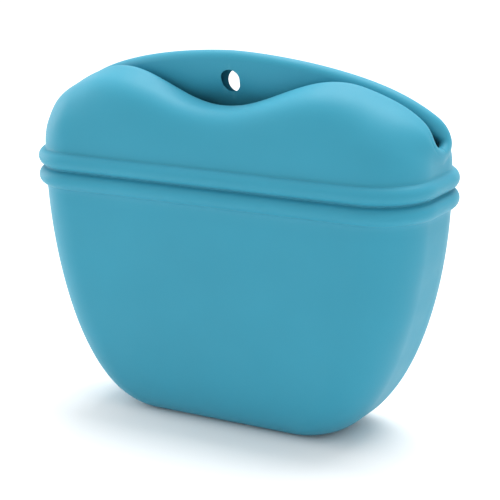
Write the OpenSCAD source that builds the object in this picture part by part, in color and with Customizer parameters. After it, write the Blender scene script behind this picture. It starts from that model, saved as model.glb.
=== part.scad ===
// Moulded silicone treat pouch: a bucket with two ribs, a domed top with a
// magnetic slit mouth, a hanging hole in the back lip and a belt clip behind.
// Millimetres. The origin is the centre of the flat base, front is -Y, up is +Z.

/* [Pouch] */
// Overall half width of the wall at the ribs
half_width = 60.3; // [56:0.1:64]
// Half depth of the wall at the ribs
half_depth = 20; // [19:0.1:21]
// Half width of the flat base
base_half_width = 27.4; // [24:0.1:30]
// Half depth of the flat base
base_half_depth = 9.5; // [8:0.1:11]
// Height of the groove between the two ribs
groove_z = 70; // [64:0.5:76]
// Corner radius as a share of the half depth
corner_share = 0.73; // [0.65:0.01:0.8]
// Silicone wall thickness
wall = 2.4; // [2:0.1:3]

/* [Ribs] */
// Radius of each half-round rib
rib_radius = 2.6; // [2:0.1:3]
// How far the ribs stand out from the wall
rib_height = 2.2; // [1.6:0.1:2.6]
// Half the distance between the rib centres
rib_half_pitch = 2.75; // [2.5:0.05:3.5]

/* [Mouth] */
// Height of the top of the back lip
top_z = 105.3; // [103:0.1:108]
// Thickness of the lips
lip_thickness = 5; // [4:0.1:6]
// Gap between the closed lips
slit_gap = 0.4; // [0.3:0.1:1]
// Depth position of the slit at its two ends
notch_y = 2; // [0:0.5:5]
// Depth position of the slit in the middle
slit_middle_y = -6.2; // [-8:0.1:-4]
// Depth of the finger dip in the front lip
dip_depth = 13.6; // [12:0.1:16]
// How far the finger dip leans forward
dip_forward = 0; // [0:0.1:3]
// Half width of the finger dip
dip_half_width = 40; // [36:1:42]
// Radius of the hanging hole
hole_radius = 2.8; // [2.4:0.1:3]
// Height of the hanging hole
hole_z = 96.7; // [95:0.1:99]

/* [Magnets] */
// Radius of a magnet
magnet_radius = 3.5; // [3:0.5:4]
// Thickness of a magnet
magnet_thickness = 1.8; // [1.5:0.1:2]

/* [Belt clip] */
// Width of the clip's base plate
clip_base_width = 30; // [26:1:36]
// Height of the clip's base plate
clip_base_height = 36; // [32:1:40]
// Thickness of the clip's plastic
clip_thickness = 2.4; // [2:0.1:3]
// Width of the clip's arm
clip_arm_width = 22; // [18:1:24]
// Gap for the belt
belt_gap = 5.2; // [4.5:0.1:6]
// Length of the arm below the bend
clip_arm_length = 46; // [40:1:50]

/* [Hidden] */
$fn = 48;

FRONT = -1;
BACK = 1;
silicone = "#489fba";
columns = 40;               // grid columns along each half of the mouth
panel_rows = 10;            // grid rows from the ribs to the lip
cap_steps = 7;              // facets round the lip's edge, an odd number
body_rows = 10;             // grid rows of the bucket
rib_steps = 5;              // facets round each rib
shoulder_z = groove_z + 6;  // where the domed top starts
lip_half = lip_thickness / 2;
wall_half = wall / 2;
corner_radius = corner_share * half_depth;
flat_y = half_depth - corner_radius;

// the lip curve's ellipse, measured to the middle of the lip
lip_a = half_width - 0.3;
lip_b = top_z - lip_half - shoulder_z;
notch_phi = 6;              // ellipse angle at the ends of the slit
free_phi = 38;              // ellipse angle over which the sheet's aim changes
side_power = 1.1;           // how round the bucket's foot is, seen from the front
depth_power = 7;            // the same seen from the side
lip_px = 1.2;               // how full the lip curve is across, 1 for an ellipse
lip_pz = 0.75;              // the same upwards
roll_in = 0.5;              // the way the front lip rolls over: inwards,
roll_back = 0.9;            // back
roll_up = 0.32;              // and up
dip_roll = 0.8;             // how much flatter it rolls over at the finger dip
back_in = 0.9;              // the back lip's lean inwards for each unit up
back_lean = 0.03;           // and forwards
end_rise = 0.45;            // the sheet's lower handle as a share of its reach, at the slit's ends,
front_rise = 0.68;          // in front
back_rise = 0.32;           // and behind
front_pull = 0.42;          // the upper handle in front,
back_pull = 0.46;           // behind
dip_pull = 0.8;            // and opposite the finger dip
thin_width = 15;            // half width of the thin part round the hanging hole
thin_start = 0.84;          // where the bead above the hole starts
front_drop = 0.8;           // the front lip is this much lower than the back lip
notch_spread = 5.3;         // how much wider the slit is at its ends, each side
slit_power = 1.8;             // how late the slit curves back towards its ends
thin_phi = 14;              // ellipse angle over which the lips grow from thin to full
notch_thin = 0.65;          // the lips are this much thinner at the slit's ends
notch_reach = 13;           // ellipse angle over which the slit widens
notch_turn = 9;            // ellipse angle over which the slit's end turns round

function mix(a, b, t) = a + (b - a) * t;
function clamp01(t) = max(0, min(1, t));
function smooth(t) = let (k = clamp01(t)) k * k * (3 - 2 * k);
function unit(v) = v / norm(v);
function bezier(p, t) =
    pow(1 - t, 3) * p[0] + 3 * pow(1 - t, 2) * t * p[1] + 3 * (1 - t) * t * t * p[2] + pow(t, 3) * p[3];

// ---- one ring of the pouch: a rounded rectangle whose two halves meet at the slit ends
function straight_share(side, a, b, r) =
    let (first = b - r - side * notch_y, bend = PI / 2 * r)
    [first / (first + bend + a - r), (first + bend) / (first + bend + a - r)];
front_share = straight_share(FRONT, half_width, half_depth, corner_radius);
back_share = straight_share(BACK, half_width, half_depth, corner_radius);

// s runs from 0 at the right slit end to 1 at the left slit end
function ring_point(a, b, r, side, s, z) =
    let (p = 2 * min(s, 1 - s),
        hand = s <= 0.5 ? 1 : -1,
        share = side == FRONT ? front_share : back_share,
        end_y = notch_y * (b - r) / flat_y,
        bend = 90 * clamp01((p - share[0]) / (share[1] - share[0])),
        x = p < share[1] ? a - r + r * cos(bend) : (a - r) * (1 - p) / (1 - share[1]),
        y = p < share[0] ? mix(end_y, side * (b - r), p / share[0]) : side * (b - r + r * sin(bend)))
    [hand * x, y, z];

// ---- the lip curve
function ease(t) = (1 - cos(180 * t)) / 2;
function phi_at(t) = mix(notch_phi, 180 - notch_phi, ease(t));
function ring_s(t) = mix(ease(t), t, 0.1);
function dip(x) = abs(x) < dip_half_width ? pow(cos(90 * x / dip_half_width), 2) : 0;
function slit_y(x) =
    let (c = x / (lip_a * pow(cos(notch_phi), lip_px))) mix(slit_middle_y, notch_y, pow(abs(c), slit_power));
function half_slit(phi) =
    let (from_end = min(phi, 180 - phi) - notch_phi,
        slope = slit_power * (notch_y - slit_middle_y) * pow(abs(cos(phi)), slit_power - 1) / lip_a,
        closed = (lip_half + slit_gap / 2) * sqrt(1 + slope * slope))
    (closed + notch_spread * exp(-pow(from_end / notch_reach, 2))) * sqrt(1 - exp(-from_end / notch_turn));
function lip_x(phi) = lip_a * sign(cos(phi)) * pow(abs(cos(phi)), lip_px);
function lip_point(side, t) =
    let (phi = phi_at(t), x = lip_x(phi), z = shoulder_z + lip_b * pow(sin(phi), lip_pz),
        y = slit_y(x) + side * half_slit(phi), rise = smooth(sin(phi) / 0.5))
    side == BACK ? [x, y, z] : [x, y - dip_forward * dip(x), z - front_drop * rise - dip_depth * dip(x)];
function lip_direction(side, t) =
    let (phi = phi_at(t), c = cos(phi), s = sin(phi), into = side == FRONT ? roll_in : back_in,
        up = side == FRONT ? roll_up * (1 - dip_roll * dip(lip_x(phi))) : 1)
    unit([-into * c * pow(s, 0.7), side == FRONT ? roll_back * s : -back_lean * s, up]);

// ---- the middle surface of the domed top; q runs once round the mouth from 0 to 2
function wrap(q) = q < 0 ? q + 2 : q >= 2 ? q - 2 : q;
function side_of(q) = q <= 1 ? FRONT : BACK;
function turn_of(q) = q <= 1 ? q : 2 - q;
// near the slit's ends the sheet aims straight at the lip, elsewhere in the lip's own direction
function panel_curve(q) =
    let (side = side_of(q), t = turn_of(q), phi = phi_at(t),
        low = ring_point(half_width - wall_half, half_depth - wall_half, corner_radius - wall_half,
            side, ring_s(t), shoulder_z),
        high = lip_point(side, t),
        reach = norm(high - low),
        free = smooth((min(phi, 180 - phi) - notch_phi) / free_phi),
        lower_handle = low + [0, 0, mix(end_rise, side == FRONT ? front_rise : back_rise, free) * reach],
        aim = unit(mix(unit(high - lower_handle), lip_direction(side, t), free)),
        pull = side == FRONT ? front_pull : mix(back_pull, dip_pull, dip(high[0])),
        upper_handle = high - mix(0.2, pull, free) * reach * aim)
    [low, lower_handle, upper_handle, high];
function middle(q, v) = bezier(panel_curve(wrap(q)), v);
function upward(q, v) =
    let (p = panel_curve(wrap(q)), w = min(v, 0.999), e = 0.001) unit(bezier(p, w + e) - bezier(p, w));
function outward(q, v) =
    let (e = 0.004, along = middle(q - e, v) - middle(q + e, v)) unit(cross(along, upward(q, v)));
// away from the sheet at the lip, square to the lip curve
function past_lip(q) = let (e = 0.002) unit(cross(middle(q + e, 1) - middle(q - e, 1), outward(q, 1)));
function lip_radius(q) =
    let (phi = phi_at(turn_of(wrap(q))), from_end = min(phi, 180 - phi) - notch_phi)
    lip_half * mix(notch_thin, 1, smooth(from_end / thin_phi));
// round the hanging hole the sheet stays thin up to a bead at the lip
function half_thick(q, v) =
    let (w = wrap(q), x = lip_x(phi_at(turn_of(w))),
        thin = side_of(w) == BACK ? exp(-pow(x / thin_width, 2)) : 0)
    mix(wall_half, lip_radius(q), smooth((v - mix(0.3, thin_start, thin)) / mix(0.5, 1 - thin_start, thin)));

// ---- the bucket
function body_ring(a, b, r, z) = concat(
    [for (i = [0:columns - 1]) ring_point(a, b, r, FRONT, ring_s(i / columns), z)],
    [for (i = [0:columns - 1]) ring_point(a, b, r, BACK, ring_s(1 - i / columns), z)]);
function body_z(angle, low) = mix(groove_z, low, pow(cos(angle), side_power));
function body_a(angle) = mix(base_half_width, half_width, sin(angle));
function body_b(angle) = mix(base_half_depth, half_depth, sqrt(1 - pow(cos(angle), depth_power)));
function inset_ring(a, b, inset, z) =
    body_ring(a - inset, b - inset, max(corner_share * b - inset, 1), z);
last_angle = 83;
function rib_rows(z) = [for (i = [0:rib_steps])
    let (top = acos((rib_radius - rib_height) / rib_radius), a = mix(-top, top, i / rib_steps),
        out = rib_height - rib_radius + rib_radius * cos(a))
    inset_ring(half_width, half_depth, -out, z + rib_radius * sin(a))];

// a level ring of the domed top: k is 1 on the outside and -1 on the inside
function top_ring(v, k) = [for (i = [0:2 * columns - 1]) let (q = i / columns)
    middle(q, v) + k * half_thick(q, v) * outward(q, v)];
function lip_ring(a) = [for (i = [0:2 * columns - 1]) let (q = i / columns)
    middle(q, 1) + lip_radius(q) * (cos(a) * outward(q, 1) + sin(a) * past_lip(q))];

// two triangles between this row's points a and b and the next row's, split as a mirror image on the left
function is_left(j) = j >= columns / 2 && j < 3 * columns / 2;
function quad(a, b, n, left) = left ?
    [[a, b, a + n], [b, b + n, a + n]] : [[a, b + n, a + n], [a, b, b + n]];

// the whole moulding as one skin: up the outside, round the lips, down the inside
module moulding() {
    rows = concat(
        [for (i = [0:body_rows]) let (a = last_angle * i / body_rows)
            inset_ring(body_a(a), body_b(a), 0, body_z(a, 0))],
        rib_rows(groove_z - rib_half_pitch), rib_rows(groove_z + rib_half_pitch),
        [inset_ring(half_width, half_depth, 0, shoulder_z)],
        [for (i = [1:panel_rows]) top_ring(i / panel_rows, 1)],
        [for (i = [1:cap_steps - 1]) lip_ring(180 * i / cap_steps)],
        [for (i = [panel_rows:-1:1]) top_ring(i / panel_rows, -1)],
        [inset_ring(half_width, half_depth, wall, shoulder_z)],
        [for (i = [body_rows:-1:0]) let (a = last_angle * i / body_rows)
            inset_ring(body_a(a), body_b(a), wall, body_z(a, wall))]);
    n = len(rows[0]);
    last = len(rows) - 1;
    under = (last + 1) * n;
    faces = concat(
        [for (j = [0:n - 1]) [under, (j + 1) % n, j]],
        [for (i = [0:last - 1], j = [0:n - 1]) each quad(i * n + j, i * n + (j + 1) % n, n, is_left(j))],
        [for (j = [0:n - 1]) [under + 1, last * n + j, last * n + (j + 1) % n]]);
    polyhedron([for (r = rows) each r, [0, 0, 0], [0, 0, wall]], faces, convexity = 10);
}

// ---- the line that parts the moving front lip from the body, in the YZ plane
part_z = shoulder_z + 7;
part_gap = 0.3;
module side_profile(points) {
    rotate([90, 0, 90]) translate([0, 0, -80]) linear_extrude(160) polygon(points);
}
// everything between the slit's middle surface and a plane at y = far
module before_slit(far) {
    edge = lip_a * pow(cos(notch_phi), lip_px);
    steps = 40;
    translate([0, 0, 60]) linear_extrude(70) polygon(concat([[-70, far], [-70, notch_y]],
        [for (i = [0:steps]) let (x = mix(-edge, edge, i / steps)) [x, slit_y(x)]],
        [[70, notch_y], [70, far]]));
}
module above_front(lift) {
    far_y = 2 * notch_y + half_depth;
    side_profile([[-half_depth, shoulder_z + lift], [far_y, 2 * part_z - shoulder_z + lift],
        [far_y, 130], [-60, 130], [-60, shoulder_z + lift]]);
}

// ---- magnets: a disc in each lip on each side of the finger dip
magnet_x_turn = 0.325;      // place along the mouth
magnet_v = 0.8;             // place up the panel
magnet_back_off = 0.2;      // the disc sits this much away from the slit
cover_thickness = 1.4;
magnet_clear = 0.05;
function magnet_q(side, hand) =
    let (t = hand > 0 ? magnet_x_turn : 1 - magnet_x_turn) side == FRONT ? t : 2 - t;
// a disc square to the lip, whose faces are from and to, measured from the lip's middle towards the slit
module lip_disc(side, hand, r, from, to) {
    q = magnet_q(side, hand);
    way = -outward(q, magnet_v);
    translate(middle(q, magnet_v)) rotate([0, acos(way[2]), atan2(way[1], way[0])])
        translate([0, 0, from]) cylinder(r = r, h = to - from);
}
magnet_low = -magnet_thickness / 2 - magnet_back_off;
magnet_high = magnet_thickness / 2 - magnet_back_off;
module magnet_pockets(side) {
    for (hand = [-1, 1])
        lip_disc(side, hand, magnet_radius + magnet_clear, magnet_low, lip_half + 3);
}
module magnet(side, hand) {
    color("#b8bcc0") lip_disc(side, hand, magnet_radius, magnet_low, magnet_high);
}
module magnet_covers(side) {
    color(silicone) for (hand = [-1, 1])
        lip_disc(side, hand, magnet_radius, magnet_high, magnet_high + cover_thickness);
}

// ---- screws through the back wall
screw_radius = 1.5;
screw_head_radius = 2.8;
screw_head_height = 1.7;
screw_clear = 0.1;
screw_z = [38, 54];
plate_thickness = 1.6;
plate_y = half_depth - wall - 0.6;    // the backing plate's rear face
clip_y = half_depth + 0.1;            // the clip base's front face
screw_tip_y = clip_y + clip_thickness - 0.6;
module screw_holes(r, from, to) {
    for (z = screw_z) translate([0, from, z]) rotate([-90, 0, 0]) cylinder(r = r, h = to - from);
}

module pouch_body() {
    color(silicone) difference() {
        moulding();
        side_profile([[-60, shoulder_z], [-half_depth, shoulder_z], [notch_y, part_z],
            [60, part_z], [60, 130], [-60, 130]]);
        screw_holes(screw_radius + screw_clear, half_depth - 2 * wall, half_depth + wall);
    }
}
module front_lip() {
    color(silicone) difference() {
        intersection() {
            moulding();
            above_front(part_gap);
            before_slit(-60);
        }
        magnet_pockets(FRONT);
    }
}
module back_lip() {
    color(silicone) difference() {
        intersection() {
            moulding();
            before_slit(60);
            translate([-80, -60, part_z]) cube([160, 120, 60]);
        }
        translate([0, -30, hole_z]) rotate([-90, 0, 0]) cylinder(r = hole_radius, h = 60);
        magnet_pockets(BACK);
    }
}

// ---- belt clip: a base plate, a U bend and a springy arm in one plastic
bend_inner = belt_gap / 2;
bend_outer = bend_inner + clip_thickness;
bend_y = clip_y + bend_outer;
bend_z = 60.5;
arm_y = bend_y + bend_inner;
toe_radius = 2.3;
clip_gap = 0.5;             // parts the arm from the base at the top of the bend
clip_corner = 4;
module upright_plate(width, height, thickness, corner, y, z) {
    translate([0, y + thickness, z]) rotate([90, 0, 0]) hull()
        for (x = [-1, 1], h = [corner, height - corner])
            translate([x * (width / 2 - corner), h, 0]) cylinder(r = corner, h = thickness, $fn = 32);
}
module bend_quarter(width, start) {
    translate([-width / 2, bend_y, bend_z]) rotate([90, 0, 90])
        rotate([0, 0, start]) difference() {
            intersection() {
                cylinder(r = bend_outer, h = width);
                cube([bend_outer + 1, bend_outer + 1, width]);
            }
            translate([0, 0, -1]) cylinder(r = bend_inner, h = width + 2);
        }
}
module clip_base() {
    color(silicone) difference() {
        union() {
            upright_plate(clip_base_width, clip_base_height, clip_thickness, clip_corner,
                clip_y, bend_z - clip_base_height);
            bend_quarter(clip_arm_width, 90);
        }
        screw_holes(screw_radius + 0.02, clip_y - 1, screw_tip_y + 0.2);
    }
}
module clip_arm() {
    color(silicone) union() {
        intersection() {
            bend_quarter(clip_arm_width, 0);
            translate([-40, bend_y + clip_gap, 0]) cube([80, 40, 100]);
        }
        translate([-clip_arm_width / 2, arm_y, bend_z - clip_arm_length + clip_thickness])
            cube([clip_arm_width, clip_thickness, clip_arm_length - clip_thickness]);
        translate([-clip_arm_width / 2, arm_y, bend_z - clip_arm_length + toe_radius])
            rotate([0, 90, 0]) cylinder(r = toe_radius, h = clip_arm_width);
    }
}
module backing_plate() {
    color("#2b2d2f") difference() {
        upright_plate(20, 28, plate_thickness, clip_corner, plate_y - plate_thickness, 32);
        screw_holes(screw_radius + screw_clear, plate_y - 5, plate_y + 1);
    }
}
module clip_screws() {
    color("silver") {
        screw_holes(screw_radius, plate_y - plate_thickness - 0.5, screw_tip_y);
        screw_holes(screw_head_radius, plate_y - plate_thickness - screw_head_height,
            plate_y - plate_thickness);
    }
}

pouch_body();
front_lip();
back_lip();
magnet(FRONT, 1);  // magnet_front_right
magnet(FRONT, -1);  // magnet_front_left
magnet(BACK, 1);  // magnet_back_right
magnet(BACK, -1);  // magnet_back_left
magnet_covers(FRONT);  // magnet_covers_front
magnet_covers(BACK);  // magnet_covers_back
clip_base();
clip_arm();
backing_plate();
clip_screws();
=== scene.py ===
"""Moulded silicone treat pouch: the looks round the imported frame.

The silicone is one skin, worked out by formula and cut in two along the upper rib,
so that its front lip can bend open. Lengths in the formulas are millimetres.
"""
import math

import bmesh
import bpy
import numpy as np
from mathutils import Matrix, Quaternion, Vector
from mathutils.kdtree import KDTree


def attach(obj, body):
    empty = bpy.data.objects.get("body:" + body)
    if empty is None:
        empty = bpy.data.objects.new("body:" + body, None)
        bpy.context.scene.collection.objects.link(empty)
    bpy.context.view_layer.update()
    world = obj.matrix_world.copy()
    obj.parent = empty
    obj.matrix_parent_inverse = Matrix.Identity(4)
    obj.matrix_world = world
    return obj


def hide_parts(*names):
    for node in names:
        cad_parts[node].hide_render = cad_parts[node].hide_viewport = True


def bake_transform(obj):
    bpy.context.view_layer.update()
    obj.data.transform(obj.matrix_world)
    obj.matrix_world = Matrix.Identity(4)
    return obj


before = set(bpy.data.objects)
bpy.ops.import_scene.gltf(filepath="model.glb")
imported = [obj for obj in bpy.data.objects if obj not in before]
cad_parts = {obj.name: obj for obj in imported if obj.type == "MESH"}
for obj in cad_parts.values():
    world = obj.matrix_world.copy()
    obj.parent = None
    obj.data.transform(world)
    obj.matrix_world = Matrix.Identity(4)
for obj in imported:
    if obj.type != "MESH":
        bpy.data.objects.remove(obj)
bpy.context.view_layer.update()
MM = 0.001

# ---- driving dimensions, the same as the CAD model's
HALF_WIDTH = 60.3
HALF_DEPTH = 20.0
BASE_HALF_WIDTH = 27.4
BASE_HALF_DEPTH = 9.5
GROOVE_Z = 70.0
CORNER_SHARE = 0.73
WALL = 2.4
RIB_RADIUS = 2.6
RIB_HEIGHT = 2.09           # as high as the CAD ribs' facets
RIB_HALF_PITCH = 2.75
TOP_Z = 105.25              # just inside the CAD lip's facets
LIP_HALF = 2.5
SLIT_GAP = 0.4
NOTCH_Y = 2.0
SLIT_MIDDLE_Y = -6.2
SLIT_POWER = 1.8
DIP_DEPTH = 13.6
DIP_FORWARD = 0.0
DIP_HALF_WIDTH = 40.0
HOLE_RADIUS = 2.8
HOLE_Z = 96.7
FRONT_DROP = 0.8
NOTCH_PHI = 6.0
NOTCH_SPREAD = 5.3
NOTCH_TURN = 9.0
NOTCH_REACH = 13.0
NOTCH_THIN = 0.65
FREE_PHI = 38.0
ROLL_IN, ROLL_BACK, ROLL_UP = 0.5, 0.9, 0.32      # the way the front lip rolls over: inwards, back and up
DIP_ROLL = 0.8                                   # how much flatter it rolls over at the finger dip
BACK_IN, BACK_LEAN = 0.9, 0.03                   # the back lip's lean inwards and forwards for each unit up
END_RISE = 0.45
FRONT_RISE, FRONT_PULL = 0.68, 0.42               # Bezier handles as shares of the sheet's reach
BACK_RISE, BACK_PULL, DIP_PULL = 0.32, 0.46, 0.8  # the last one is opposite the finger dip
HOLE_EDGE = 0.7                                  # rounding of the hanging hole's edges
THIN_WIDTH, THIN_START = 15.0, 0.84              # where the back lip stays thin round the hanging hole
LIP_PX, LIP_PZ = 1.2, 0.75                       # how full the lip curve is, 1 for an ellipse
SIDE_POWER, DEPTH_POWER = 1.1, 7.0             # how round the bucket's foot is
SHOULDER_Z = GROOVE_Z + 6
CORNER_RADIUS = CORNER_SHARE * HALF_DEPTH
FLAT_Y = HALF_DEPTH - CORNER_RADIUS
LIP_A = HALF_WIDTH - 0.3
LIP_B = TOP_Z - LIP_HALF - SHOULDER_Z

# ---- how finely the skin is divided
COLUMNS = 168               # along each half of the mouth
BODY_ROWS = 44
RIB_ROWS = 14
PANEL_ROWS = 34
CAP_STEPS = 14
LAST_ANGLE = 83.0

FRONT, BACK = -1, 1


# ---------------------------------------------------------------- formulas
def cosd(a):
    return np.cos(np.radians(a))


def sind(a):
    return np.sin(np.radians(a))


def mix(a, b, t):
    return a + (b - a) * t


def smooth(t):
    t = np.clip(t, 0, 1)
    return t * t * (3 - 2 * t)


def unit(v):
    return v / np.linalg.norm(v, axis=-1, keepdims=True)


def straight_share(side):
    first = FLAT_Y - side * NOTCH_Y
    bend = math.pi / 2 * CORNER_RADIUS
    whole = first + bend + HALF_WIDTH - CORNER_RADIUS
    return first / whole, (first + bend) / whole


def ring_point(a, b, r, back, s, z):
    """A rounded rectangle; s runs from 0 at the right slit end to 1 at the left one."""
    p = 2 * np.minimum(s, 1 - s)
    hand = np.where(s <= 0.5, 1, -1)
    f, g = straight_share(FRONT), straight_share(BACK)
    first = np.where(back, g[0], f[0])
    second = np.where(back, g[1], f[1])
    side = np.where(back, 1, -1)
    end_y = NOTCH_Y * (b - r) / FLAT_Y
    bend = 90 * np.clip((p - first) / (second - first), 0, 1)
    x = np.where(p < second, a - r + r * cosd(bend), (a - r) * (1 - p) / (1 - second))
    y = np.where(p < first, mix(end_y, side * (b - r), p / first), side * (b - r + r * sind(bend)))
    return np.stack([hand * x, y, np.full_like(x, 1.0) * z], -1)


def ease(t):
    return (1 - cosd(180 * t)) / 2


def phi_at(t):
    return mix(NOTCH_PHI, 180 - NOTCH_PHI, ease(t))


def ring_s(t):
    return mix(ease(t), t, 0.1)


def dip(x):
    return np.where(np.abs(x) < DIP_HALF_WIDTH, cosd(90 * x / DIP_HALF_WIDTH) ** 2, 0)


def slit_y(x):
    return mix(SLIT_MIDDLE_Y, NOTCH_Y, np.abs(x / (LIP_A * cosd(NOTCH_PHI) ** LIP_PX)) ** SLIT_POWER)


def from_end(phi):
    return np.minimum(phi, 180 - phi) - NOTCH_PHI


def half_slit(phi):
    slope = SLIT_POWER * (NOTCH_Y - SLIT_MIDDLE_Y) * np.abs(cosd(phi)) ** (SLIT_POWER - 1) / LIP_A
    closed = (LIP_HALF + SLIT_GAP / 2) * np.sqrt(1 + slope * slope)
    e = np.maximum(from_end(phi), 0)
    return (closed + NOTCH_SPREAD * np.exp(-(e / NOTCH_REACH) ** 2)) * np.sqrt(1 - np.exp(-e / NOTCH_TURN))


def lip_x(phi):
    return LIP_A * np.sign(cosd(phi)) * np.abs(cosd(phi)) ** LIP_PX


def lip_point(back, t):
    phi = phi_at(t)
    x = lip_x(phi)
    z = SHOULDER_Z + LIP_B * sind(phi) ** LIP_PZ
    y = slit_y(x) + np.where(back, 1, -1) * half_slit(phi)
    rise = smooth(sind(phi) / 0.5)
    y = np.where(back, y, y - DIP_FORWARD * dip(x))
    z = np.where(back, z, z - FRONT_DROP * rise - DIP_DEPTH * dip(x))
    return np.stack([x, y, z], -1)


def lip_direction(back, t):
    phi = phi_at(t)
    c, s = cosd(phi), sind(phi)
    return unit(np.stack([np.where(back, -BACK_IN, -ROLL_IN) * c * s ** 0.7,
                          np.where(back, -BACK_LEAN, ROLL_BACK) * s,
                          np.where(back, 1, ROLL_UP * (1 - DIP_ROLL * dip(lip_x(phi))))], -1))


def panel_curve(q):
    """The four Bezier points of the sheet's middle line at q, which runs once round the mouth."""
    q = np.mod(q, 2)
    back = q > 1
    t = np.where(back, 2 - q, q)
    half_wall = WALL / 2
    low = ring_point(HALF_WIDTH - half_wall, HALF_DEPTH - half_wall, CORNER_RADIUS - half_wall,
                     back, ring_s(t), SHOULDER_Z)
    high = lip_point(back, t)
    reach = np.linalg.norm(high - low, axis=-1)
    lower = low.copy()
    free = smooth(from_end(phi_at(t)) / FREE_PHI)
    lower[..., 2] += mix(END_RISE, np.where(back, BACK_RISE, FRONT_RISE), free) * reach
    aim = unit(mix(unit(high - lower), lip_direction(back, t), free[..., None]))
    pull = np.where(back, mix(BACK_PULL, DIP_PULL, dip(high[..., 0])), FRONT_PULL)
    upper = high - (mix(0.2, pull, free) * reach)[..., None] * aim
    return low, lower, upper, high


def bezier(p, t):
    t = np.asarray(t)[..., None]
    return (1 - t) ** 3 * p[0] + 3 * (1 - t) ** 2 * t * p[1] + 3 * (1 - t) * t * t * p[2] + t ** 3 * p[3]


def middle(q, v):
    return bezier(panel_curve(q), v)


def upward(q, v):
    p, w, e = panel_curve(q), np.minimum(v, 0.999), 0.001
    return unit(bezier(p, w + e) - bezier(p, w))


def outward(q, v):
    e = 0.004
    return unit(np.cross(middle(q - e, v) - middle(q + e, v), upward(q, v)))


def past_lip(q):
    e = 0.002
    one = np.ones_like(q)
    return unit(np.cross(middle(q + e, one) - middle(q - e, one), outward(q, one)))


def lip_radius(q):
    q = np.mod(q, 2)
    phi = phi_at(np.where(q > 1, 2 - q, q))
    return LIP_HALF * mix(NOTCH_THIN, 1, smooth(from_end(phi) / 14))


def half_thick(q, v):
    """Half the sheet's thickness; round the hanging hole it stays thin up to a bead at the lip."""
    w = np.mod(q, 2)
    back = w > 1
    x = lip_point(back, np.where(back, 2 - w, w))[..., 0]
    thin = np.where(back, np.exp(-(x / THIN_WIDTH) ** 2), 0)
    return mix(WALL / 2, lip_radius(q), smooth((v - mix(0.3, THIN_START, thin)) / mix(0.5, 1 - THIN_START, thin)))


# ---------------------------------------------------------------- the skin's rows
Q = np.arange(2 * COLUMNS) / COLUMNS
IN_BACK = Q > 1
RING_S = ring_s(np.where(IN_BACK, 2 - Q, Q))


def inset_ring(a, b, inset, z):
    return ring_point(a - inset, b - inset, max(CORNER_SHARE * b - inset, 1), IN_BACK, RING_S, z)


def body_ring(angle, inset, floor):
    a = mix(BASE_HALF_WIDTH, HALF_WIDTH, sind(angle))
    b = mix(BASE_HALF_DEPTH, HALF_DEPTH, math.sqrt(1 - cosd(angle) ** DEPTH_POWER))
    return inset_ring(a, b, inset, mix(GROOVE_Z, floor, cosd(angle) ** SIDE_POWER))


def rib_rows(z):
    top = math.degrees(math.acos((RIB_RADIUS - RIB_HEIGHT) / RIB_RADIUS))
    angles = np.linspace(-top, top, RIB_ROWS)
    return [inset_ring(HALF_WIDTH, HALF_DEPTH, RIB_RADIUS - RIB_HEIGHT - RIB_RADIUS * cosd(a),
                       z + RIB_RADIUS * sind(a)) for a in angles]


def top_row(v, k):
    one = np.full_like(Q, v)
    return middle(Q, one) + k * half_thick(Q, one)[:, None] * outward(Q, one)


def cap_row(angle):
    one = np.ones_like(Q)
    return middle(Q, one) + lip_radius(Q)[:, None] * (
        cosd(angle) * outward(Q, one) + sind(angle) * past_lip(Q))


def skin_rows():
    """Every ring of the moulding, up the outside and down the inside, and which rows are the top's."""
    angles = np.linspace(0, LAST_ANGLE, BODY_ROWS)
    rows = [body_ring(a, 0, 0.0) for a in angles]
    rows += rib_rows(GROOVE_Z - RIB_HALF_PITCH) + rib_rows(GROOVE_Z + RIB_HALF_PITCH)
    first = len(rows)
    rows.append(inset_ring(HALF_WIDTH, HALF_DEPTH, 0, SHOULDER_Z))
    steps = np.linspace(0, 1, PANEL_ROWS + 1)[1:]
    rows += [top_row(v, 1) for v in steps]
    rows += [cap_row(180 * i / CAP_STEPS) for i in range(1, CAP_STEPS)]
    rows += [top_row(v, -1) for v in steps[::-1]]
    last = len(rows)
    rows.append(inset_ring(HALF_WIDTH, HALF_DEPTH, WALL, SHOULDER_Z))
    rows += [body_ring(a, WALL, WALL) for a in angles[::-1]]
    return np.array(rows), first, last


# ---------------------------------------------------------------- mesh helpers
def new_object(name, verts, faces, smooth_faces=True):
    mesh = bpy.data.meshes.new(name)
    mesh.from_pydata([tuple(v) for v in verts], [], faces)
    mesh.update()
    if smooth_faces:
        mesh.polygons.foreach_set("use_smooth", [True] * len(mesh.polygons))
    obj = bpy.data.objects.new(name, mesh)
    bpy.context.collection.objects.link(obj)
    return obj


def vertex_normals(verts, faces):
    """Area-weighted normals of the whole skin, so that its two pieces shade alike at their seam."""
    normals = np.zeros_like(verts)
    quads = np.array([f for f in faces if len(f) == 4])
    tris = np.array([f for f in faces if len(f) == 3])
    for group in (quads, tris):
        if len(group):
            p = verts[group]
            n = np.cross(p[:, 2] - p[:, 0], p[:, -1] - p[:, 1])
            for k in range(group.shape[1]):
                np.add.at(normals, group[:, k], n)
    return unit(normals + 1e-12)


def ladder(loop, flip):
    """Closes a section whose points run up one side and down the other."""
    out = []
    i, j = 0, len(loop) - 1
    while j - i > 2:
        out.append((loop[i], loop[j], loop[j - 1], loop[i + 1]))
        i, j = i + 1, j - 1
    if j - i == 2:
        out.append((loop[i], loop[j], loop[i + 1]))
    return [tuple(reversed(f)) for f in out] if flip else out


def keep_used(name, verts, normals, faces):
    """A new object of only the points that these faces use, and each point's normal."""
    used = sorted({i for f in faces for i in f})
    where = {old: new for new, old in enumerate(used)}
    obj = new_object(name, verts[used], [tuple(where[i] for i in f) for f in faces])
    return obj, normals[used]


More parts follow.
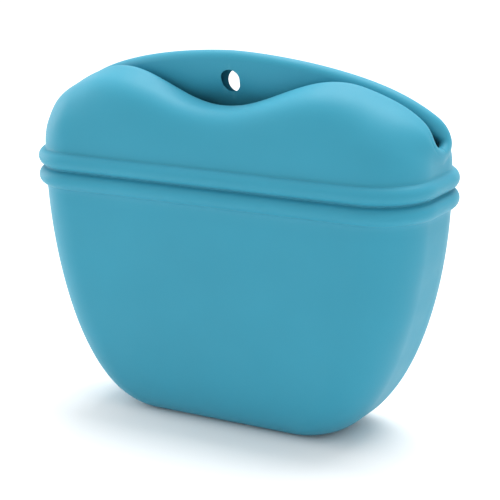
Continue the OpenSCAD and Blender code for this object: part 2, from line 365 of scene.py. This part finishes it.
def build_skin():
    """The silicone as two pieces that share their seam's points and normals: body, then front lip."""
    rows, first, last = skin_rows()
    count, n = rows.shape[:2]
    verts = np.concatenate([rows.reshape(-1, 3), [[0, 0, 0], [0, 0, WALL]]]) * MM
    under = count * n
    shell, lip = [], []
    for i in range(count - 1):
        for j in range(n):
            k = (j + 1) % n
            face = (i * n + j, (i + 1) * n + j, (i + 1) * n + k, i * n + k)
            (lip if first <= i < last and j < COLUMNS else shell).append(face[::-1])
    shell += [(under, j, (j + 1) % n) for j in range(n)]
    top = (count - 1) * n
    shell += [(under + 1, top + (j + 1) % n, top + j) for j in range(n)]
    normals = vertex_normals(verts, shell + lip)
    right = [i * n for i in range(first, last + 1)]
    left = [i * n + COLUMNS for i in range(first, last + 1)]
    annulus = [(first * n + j, first * n + j + 1, last * n + j + 1, last * n + j) for j in range(COLUMNS)]
    shell += ladder(right, False) + ladder(left, True) + [f[::-1] for f in annulus]
    lip += ladder(right, True) + ladder(left, False) + annulus
    return keep_used("silicone_body", verts, normals, shell), keep_used("silicone_front_lip", verts, normals, lip)


def lathe(name, profile, steps, axis_point):
    """A closed solid of revolution about the Y axis through a point; profile is (y, radius)."""
    verts, faces = [], []
    for y, r in profile:
        for i in range(steps):
            a = 2 * math.pi * i / steps
            verts.append(((axis_point[0] + r * math.cos(a)) * MM, y * MM, (axis_point[1] + r * math.sin(a)) * MM))
    rings = len(profile)
    for i in range(rings - 1):
        for j in range(steps):
            k = (j + 1) % steps
            faces.append((i * steps + j, i * steps + k, (i + 1) * steps + k, (i + 1) * steps + j))
    faces.append(tuple(range(steps)))
    faces.append(tuple(reversed(range((rings - 1) * steps, rings * steps))))
    return new_object(name, verts, faces)


def hole_cutter(front_y, back_y):
    """A spool: straight through the lip, flaring to a rounded edge at both faces."""
    profile = [(front_y - 6, HOLE_RADIUS + HOLE_EDGE + 0.6), (front_y - 0.3, HOLE_RADIUS + HOLE_EDGE)]
    arc = [math.radians(a) for a in range(10, 91, 10)]
    profile += [(front_y + HOLE_EDGE * math.sin(a) - 0.1, HOLE_RADIUS + HOLE_EDGE * (1 - math.sin(a)) ** 1.2)
                for a in arc]
    profile += [(back_y - HOLE_EDGE * math.sin(a) + 0.1, HOLE_RADIUS + HOLE_EDGE * (1 - math.sin(a)) ** 1.2)
                for a in reversed(arc)]
    profile += [(back_y + 0.3, HOLE_RADIUS + HOLE_EDGE), (back_y + 6, HOLE_RADIUS + HOLE_EDGE + 0.6)]
    return lathe("hole_cutter", profile, 48, (0, HOLE_Z))


def set_normals(obj, normals):
    obj.data.normals_split_custom_set_from_vertices([tuple(n) for n in normals])


def cut_hole(obj, normals):
    """Cuts the hanging hole and gives the skin back its own normals round it."""
    points = [v.co.copy() for v in obj.data.vertices]
    near = [v for v in points if math.hypot(v.x, v.z - HOLE_Z * MM) < 2.5 * HOLE_RADIUS * MM and abs(v.y) < 0.012]
    front_y = min(v.y for v in near) / MM + 0.5
    back_y = max(v.y for v in near) / MM - 1.0
    cutter = hole_cutter(front_y, back_y)
    obj.data.materials.append(bpy.data.materials.new("skin"))
    cutter.data.materials.append(bpy.data.materials.new("hole_wall"))
    cut = obj.modifiers.new("hole", "BOOLEAN")
    cut.operation = "DIFFERENCE"
    cut.solver = "EXACT"
    cut.material_mode = "TRANSFER"
    cut.object = cutter
    depsgraph = bpy.context.evaluated_depsgraph_get()
    mesh = bpy.data.meshes.new_from_object(obj.evaluated_get(depsgraph))
    mesh.name = obj.name
    obj.modifiers.clear()
    obj.data = mesh
    bpy.data.objects.remove(cutter)
    tree = KDTree(len(points))
    for i, p in enumerate(points):
        tree.insert(p, i)
    tree.balance()
    auto = [tuple(v.normal) for v in mesh.vertices]
    wall_slot = [m.name for m in mesh.materials].index("hole_wall") if len(mesh.materials) > 1 else -1
    loops = [None] * len(mesh.loops)
    for poly in mesh.polygons:
        for li in poly.loop_indices:
            vi = mesh.loops[li].vertex_index
            if poly.material_index == wall_slot:
                loops[li] = auto[vi]
            else:
                _, index, gap = tree.find(mesh.vertices[vi].co)
                loops[li] = tuple(normals[index])
    mesh.polygons.foreach_set("material_index", [0] * len(mesh.polygons))
    mesh.polygons.foreach_set("use_smooth", [True] * len(mesh.polygons))
    mesh.normals_split_custom_set(loops)
    mesh.materials.clear()


# ---------------------------------------------------------------- materials
def material(name, colour, roughness):
    m = bpy.data.materials.new(name)
    m.use_nodes = True
    shader = m.node_tree.nodes["Principled BSDF"]
    shader.inputs["Base Color"].default_value = (*colour, 1)
    shader.inputs["Roughness"].default_value = roughness
    return m, m.node_tree, shader


def noise(tree, scale, detail=3.0, rough=0.5):
    coords = tree.nodes.new("ShaderNodeTexCoord")
    tex = tree.nodes.new("ShaderNodeTexNoise")
    tex.inputs["Scale"].default_value = scale
    tex.inputs["Detail"].default_value = detail
    tex.inputs["Roughness"].default_value = rough
    tree.links.new(coords.outputs["Object"], tex.inputs["Vector"])
    return tex.outputs["Fac"]


def ramp(tree, source, low, high, start=0.3, stop=0.7):
    node = tree.nodes.new("ShaderNodeValToRGB")
    node.color_ramp.elements[0].position = start
    node.color_ramp.elements[1].position = stop
    node.color_ramp.elements[0].color = (*low, 1)
    node.color_ramp.elements[1].color = (*high, 1)
    tree.links.new(source, node.inputs["Fac"])
    return node.outputs["Color"]


def value_range(tree, source, low, high):
    node = tree.nodes.new("ShaderNodeMapRange")
    node.inputs["From Min"].default_value = 0.3
    node.inputs["From Max"].default_value = 0.7
    node.inputs["To Min"].default_value = low
    node.inputs["To Max"].default_value = high
    tree.links.new(source, node.inputs["Value"])
    return node.outputs["Result"]


def bump(tree, shader, layers):
    """Stacks bumps, each (height source, distance in metres, strength)."""
    last = None
    for height, distance, strength in layers:
        node = tree.nodes.new("ShaderNodeBump")
        node.inputs["Distance"].default_value = distance
        node.inputs["Strength"].default_value = strength
        tree.links.new(height, node.inputs["Height"])
        if last:
            tree.links.new(last, node.inputs["Normal"])
        last = node.outputs["Normal"]
    tree.links.new(last, shader.inputs["Normal"])


def scaled(colour, k):
    return tuple(min(1.0, c * k) for c in colour)


TEAL = (0.035, 0.274, 0.388)


def silicone_material():
    m, tree, shader = material("silicone", TEAL, 0.5)
    tone = ramp(tree, noise(tree, 28, 4), scaled(TEAL, 0.965), scaled(TEAL, 1.035))
    # painted highlight: the colour turns a lighter teal on convex edges such as the lip rims, where light catches
    # them
    edge = tree.nodes.new("ShaderNodeNewGeometry")
    painted_edge_highlight = tree.nodes.new("ShaderNodeMapRange")
    painted_edge_highlight.inputs["From Min"].default_value = 0.5
    painted_edge_highlight.inputs["From Max"].default_value = 0.62
    painted_edge_highlight.inputs["To Max"].default_value = 0.15
    tree.links.new(edge.outputs["Pointiness"], painted_edge_highlight.inputs["Value"])
    highlight_blend = tree.nodes.new("ShaderNodeMix")
    highlight_blend.data_type = "RGBA"
    highlight_blend.inputs["B"].default_value = (0.16, 0.50, 0.62, 1)
    tree.links.new(painted_edge_highlight.outputs["Result"], highlight_blend.inputs["Factor"])
    tree.links.new(tone, highlight_blend.inputs["A"])
    tree.links.new(highlight_blend.outputs["Result"], shader.inputs["Base Color"])
    tree.links.new(value_range(tree, noise(tree, 90, 3), 0.46, 0.56), shader.inputs["Roughness"])
    shader.inputs["IOR"].default_value = 1.42
    shader.inputs["Specular IOR Level"].default_value = 0.25
    shader.inputs["Subsurface Weight"].default_value = 0.12
    shader.inputs["Subsurface Radius"].default_value = (0.3, 0.8, 1.0)
    shader.inputs["Subsurface Scale"].default_value = 0.002
    shader.inputs["Sheen Weight"].default_value = 0.05
    shader.inputs["Sheen Roughness"].default_value = 0.45
    bump(tree, shader, [(noise(tree, 2600, 2), 0.00002, 0.35), (noise(tree, 35, 2), 0.0003, 0.12)])
    return m


def plastic_material(name, colour, grain):
    m, tree, shader = material(name, colour, 0.45)
    tree.links.new(ramp(tree, noise(tree, 60, 3), scaled(colour, 0.94), scaled(colour, 1.06)),
                   shader.inputs["Base Color"])
    tree.links.new(value_range(tree, noise(tree, 300, 3), 0.36, 0.52), shader.inputs["Roughness"])
    shader.inputs["IOR"].default_value = 1.49
    bump(tree, shader, [(noise(tree, grain, 2), 0.00003, 0.5)])
    return m


def metal_material(name, colour, low, high, stretch):
    m, tree, shader = material(name, colour, 0.3)
    shader.inputs["Metallic"].default_value = 1.0
    coords = tree.nodes.new("ShaderNodeTexCoord")
    mapping = tree.nodes.new("ShaderNodeMapping")
    mapping.inputs["Scale"].default_value = stretch
    tex = tree.nodes.new("ShaderNodeTexNoise")
    tex.inputs["Scale"].default_value = 900
    tree.links.new(coords.outputs["Object"], mapping.inputs["Vector"])
    tree.links.new(mapping.outputs["Vector"], tex.inputs["Vector"])
    tree.links.new(ramp(tree, tex.outputs["Fac"], scaled(colour, 0.88), scaled(colour, 1.05)),
                   shader.inputs["Base Color"])
    tree.links.new(value_range(tree, tex.outputs["Fac"], low, high), shader.inputs["Roughness"])
    bump(tree, shader, [(tex.outputs["Fac"], 0.00001, 0.4)])
    return m


def dress(obj, mat):
    obj.data.materials.clear()
    obj.data.materials.append(mat)


# ---------------------------------------------------------------- the belt clip
CLIP_T = 2.4
CLIP_Y = HALF_DEPTH + 0.1
BEND_R = 2.6 + CLIP_T / 2
BEND_Y = CLIP_Y + CLIP_T / 2 + BEND_R
BEND_Z = 60.5
PLATE_LOW = 24.5
ARM_LOW = 14.7
EDGE_R = 0.8


def clip_path():
    """Middle line in the YZ plane, up the plate, round the bend and down the arm, with half widths."""
    points = []
    plate_y = CLIP_Y + CLIP_T / 2
    for z in np.linspace(PLATE_LOW, BEND_Z, 60):
        low = z - PLATE_LOW
        corner = 4.0
        inset = corner - math.sqrt(max(corner ** 2 - max(corner - low, 0) ** 2, 0))
        points.append((plate_y, z, mix(15 - inset, 11, float(smooth((z - 50) / 9)))))
    for a in np.linspace(180, 0, 37)[1:-1]:
        points.append((BEND_Y + BEND_R * cosd(a), BEND_Z + BEND_R * sind(a), 11.0))
    arm_y = BEND_Y + BEND_R
    for z in np.linspace(BEND_Z, ARM_LOW, 90):
        low = z - ARM_LOW
        inset = 3.0 - math.sqrt(max(9.0 - max(3.0 - low, 0) ** 2, 0))
        points.append((arm_y, z, 11.0 - inset))
    return np.array(points)


def toe(z):
    """How much thicker the arm is on its inner side: a round toe near its end."""
    return 2.2 * math.exp(-((z - ARM_LOW - 3.0) / 2.0) ** 2)


def clip_section(half_width, inner, outer, steps=6):
    """A rounded rectangle: across is x, through is from -inner to outer."""
    r = min(EDGE_R, half_width * 0.5)
    out = []
    for cx, cy, start in ((1, 1, 0), (-1, 1, 90), (-1, -1, 180), (1, -1, 270)):
        through = outer if cy > 0 else inner
        for i in range(steps + 1):
            a = start + 90 * i / steps
            out.append((cx * (half_width - r) + r * cosd(a), cy * (through - r) + r * sind(a)))
    return out


def build_clip():
    """The belt clip as one strip swept along its middle line."""
    path = clip_path()
    middle_line = path[:, :2]
    tangent = unit(np.gradient(middle_line, axis=0))
    rings = []
    arm_start = len(path) - 90
    for i, (y, z, w) in enumerate(path):
        ty, tz = tangent[i]
        ny, nz = -tz, ty                    # to the outside of the bend
        inner = CLIP_T / 2 + (toe(z) if i >= arm_start else 0)
        grip = 0.35 * max(0.0, math.cos((z - 30) * 2.1)) ** 2 if i >= arm_start and 18 < z < 30 else 0
        section = clip_section(w, inner, CLIP_T / 2)
        rings.append([(x, y + ny * (d - (grip if d > 0 else 0)), z + nz * (d - (grip if d > 0 else 0)))
                      for x, d in section])
    rings = np.array(rings) * MM
    count, n = rings.shape[:2]
    verts = rings.reshape(-1, 3).tolist()
    faces = [(i * n + j, i * n + (j + 1) % n, (i + 1) * n + (j + 1) % n, (i + 1) * n + j)
             for i in range(count - 1) for j in range(n)]
    faces += [tuple(range(n))[::-1], tuple(range((count - 1) * n, count * n))]
    obj = new_object("belt_clip", verts, faces)
    tidy = bmesh.new()
    tidy.from_mesh(obj.data)
    bmesh.ops.recalc_face_normals(tidy, faces=tidy.faces)
    tidy.to_mesh(obj.data)
    tidy.free()
    return obj


# ---------------------------------------------------------------- camera, floor and light
YAW, ELEVATION, DISTANCE, ROLL = 30.6, 15.0, 0.4703, -0.82
AIM_POINT = Vector((0.0018, 0.0011, 0.0479))


def add_camera():
    data = bpy.data.cameras.new("camera")
    data.lens = 119.4
    data.clip_end = 20
    cam = bpy.data.objects.new("camera", data)
    yaw, up = math.radians(YAW), math.radians(ELEVATION)
    back = Vector((math.sin(yaw) * math.cos(up), -math.cos(yaw) * math.cos(up), math.sin(up)))
    cam.location = AIM_POINT + DISTANCE * back
    level = (-back).to_track_quat("-Z", "Y")
    cam.rotation_euler = (level @ Quaternion((0, 0, 1), math.radians(ROLL))).to_euler()
    bpy.context.collection.objects.link(cam)
    bpy.context.scene.camera = cam


def add_floor():
    mat, tree, shader = material("floor_white", (0.9, 0.9, 0.9), 0.7)
    size = 6.0
    floor = new_object("floor", [(-size, -size, 0), (size, -size, 0), (size, size, 0), (-size, size, 0)],
                       [(0, 1, 2, 3)], False)
    dress(floor, mat)


def add_light(name, place, target, size, power, colour=(1, 1, 1)):
    data = bpy.data.lights.new(name, "AREA")
    data.shape = "RECTANGLE"
    data.size, data.size_y = size
    data.energy = power
    data.color = colour
    lamp = bpy.data.objects.new(name, data)
    lamp.location = place
    lamp.rotation_euler = (Vector(target) - lamp.location).to_track_quat("-Z", "Y").to_euler()
    bpy.context.collection.objects.link(lamp)


def add_world(strength):
    world = bpy.data.worlds.new("studio")
    bpy.context.scene.world = world
    world.use_nodes = True
    background = world.node_tree.nodes["Background"]
    background.inputs["Color"].default_value = (1, 1, 1, 1)
    background.inputs["Strength"].default_value = strength


# ---------------------------------------------------------------- the scene
add_camera()
bpy.context.scene.view_settings.view_transform = "Standard"

silicone = silicone_material()
clip_plastic = plastic_material("clip_plastic", TEAL, 1800)
plate_plastic = plastic_material("plate_plastic", (0.03, 0.03, 0.033), 1500)
magnet_metal = metal_material("magnet_nickel", (0.62, 0.61, 0.58), 0.18, 0.3, (1, 1, 1))
screw_steel = metal_material("screw_steel", (0.58, 0.59, 0.61), 0.25, 0.4, (1, 6, 1))

(body_skin, body_normals), (lip_skin, lip_normals) = build_skin()
cut_hole(body_skin, body_normals)
set_normals(lip_skin, lip_normals)
dress(body_skin, silicone)
dress(lip_skin, silicone)
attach(body_skin, "root")
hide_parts("pouch_body", "back_lip")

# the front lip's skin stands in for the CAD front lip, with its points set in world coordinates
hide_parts("front_lip")
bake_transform(lip_skin)

clip = build_clip()
dress(clip, clip_plastic)
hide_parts("clip_base", "clip_arm")
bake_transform(clip)

for node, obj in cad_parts.items():
    if node.startswith("magnet_covers"):
        dress(obj, silicone)
    elif node.startswith("magnet"):
        dress(obj, magnet_metal)
    elif node == "backing_plate":
        dress(obj, plate_plastic)
    elif node == "clip_screws":
        dress(obj, screw_steel)

add_floor()
add_world(1.0)
AIM = (0, 0, 0.055)
add_light("top", (0.0, 0.3, 0.85), AIM, (0.9, 0.6), 9.0)
add_light("left", (-0.78, 0.02, 0.16), AIM, (0.4, 0.5), 2.5)
